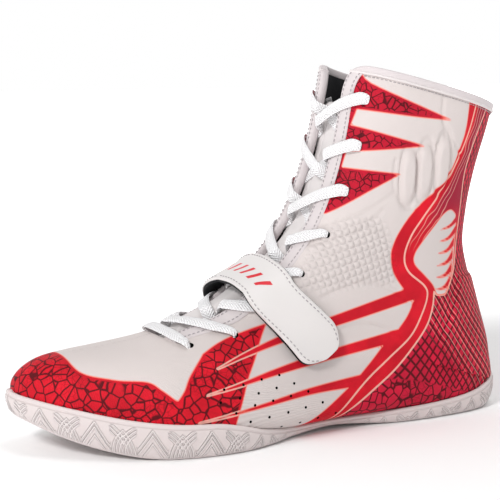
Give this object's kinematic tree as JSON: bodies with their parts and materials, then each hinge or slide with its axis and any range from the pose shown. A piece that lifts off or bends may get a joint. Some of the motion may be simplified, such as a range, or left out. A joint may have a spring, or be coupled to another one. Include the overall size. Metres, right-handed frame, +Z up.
{
  "type": "high boxing boot",
  "caption": "Left high-top lace-up boot with a thin sole, a padded tongue and a hook-and-loop strap across the instep.",
  "frame": {"origin": "middle of the heel's flat tread, on the ground", "axes": "+X to the heel, -X to the toe, -Y to the outer side, +Y to the inner side, +Z up"},
  "size_m": [0.2918, 0.0971, 0.2032],
  "materials": {
    "upper_print": "coated knit, printed red with dark cracks",
    "upper_white": "white woven fabric with a soft sheen",
    "leather_white": "smooth white synthetic leather",
    "lining": "black brushed lining",
    "rubber": "off-white rubber",
    "foam": "dense foam",
    "board": "fibre board",
    "lace": "flat woven white lace",
    "plastic": "white plastic tip",
    "hook_loop": "black hook and loop"
  },
  "bodies": {
    "boot": {"quarter_lateral": "upper_print", "vamp": "upper_print", "heel_cup": "upper_print", "quarter_medial": "upper_print", "throat_binding_lateral": "upper_white", "throat_binding_medial": "upper_white", "collar_binding": "upper_white", "quarter_lining_lateral": "lining", "quarter_lining_medial": "lining", "vamp_lining": "lining", "toe_puff": "board", "heel_counter": "board", "insole_board": "board", "midsole": "foam", "lasting_filler": "foam", "sockliner": "foam", "outsole": "rubber", "strap_anchor": "leather_white", "loop_patch": "hook_loop", "lace_1_from_lateral": "lace", "lace_1_from_medial": "lace", "lace_2_from_lateral": "lace", "lace_2_from_medial": "lace", "lace_3_from_lateral": "lace", "lace_3_from_medial": "lace", "lace_4_from_lateral": "lace", "lace_4_from_medial": "lace", "lace_5_from_lateral": "lace", "lace_5_from_medial": "lace", "lace_6_from_lateral": "lace", "lace_6_from_medial": "lace", "lace_7_from_lateral": "lace", "lace_7_from_medial": "lace", "lace_bar": "lace", "lace_tail_lateral": "lace", "lace_tail_medial": "lace", "aglet_lateral": "plastic", "aglet_medial": "plastic"},
    "strap_base_part": {"strap_base": "leather_white"},
    "strap_tip_part": {"strap_tip": "leather_white", "strap_hook": "hook_loop"},
    "tongue_part": {"tongue": "upper_white"}
  },
  "joints": [
    {"name": "strap_fold", "type": "hinge", "parent": "boot", "child": "strap_base_part", "pos_m": [-0.1198, 0.0285, 0.0756], "axis": [-0.7847, -0.1408, -0.6036], "range_deg": [0, 85]},
    {"name": "strap_peel", "type": "hinge", "parent": "strap_base_part", "child": "strap_tip_part", "pos_m": [-0.1216, -0.01765, 0.0869], "axis": [-0.8111, 0.0701, -0.5808], "range_deg": [0, 90]},
    {"name": "tongue_fold", "type": "hinge", "parent": "boot", "child": "tongue_part", "pos_m": [-0.178, 0.0025, 0.051], "axis": [0, 1, 0], "range_deg": [0, 6]}
  ]
}
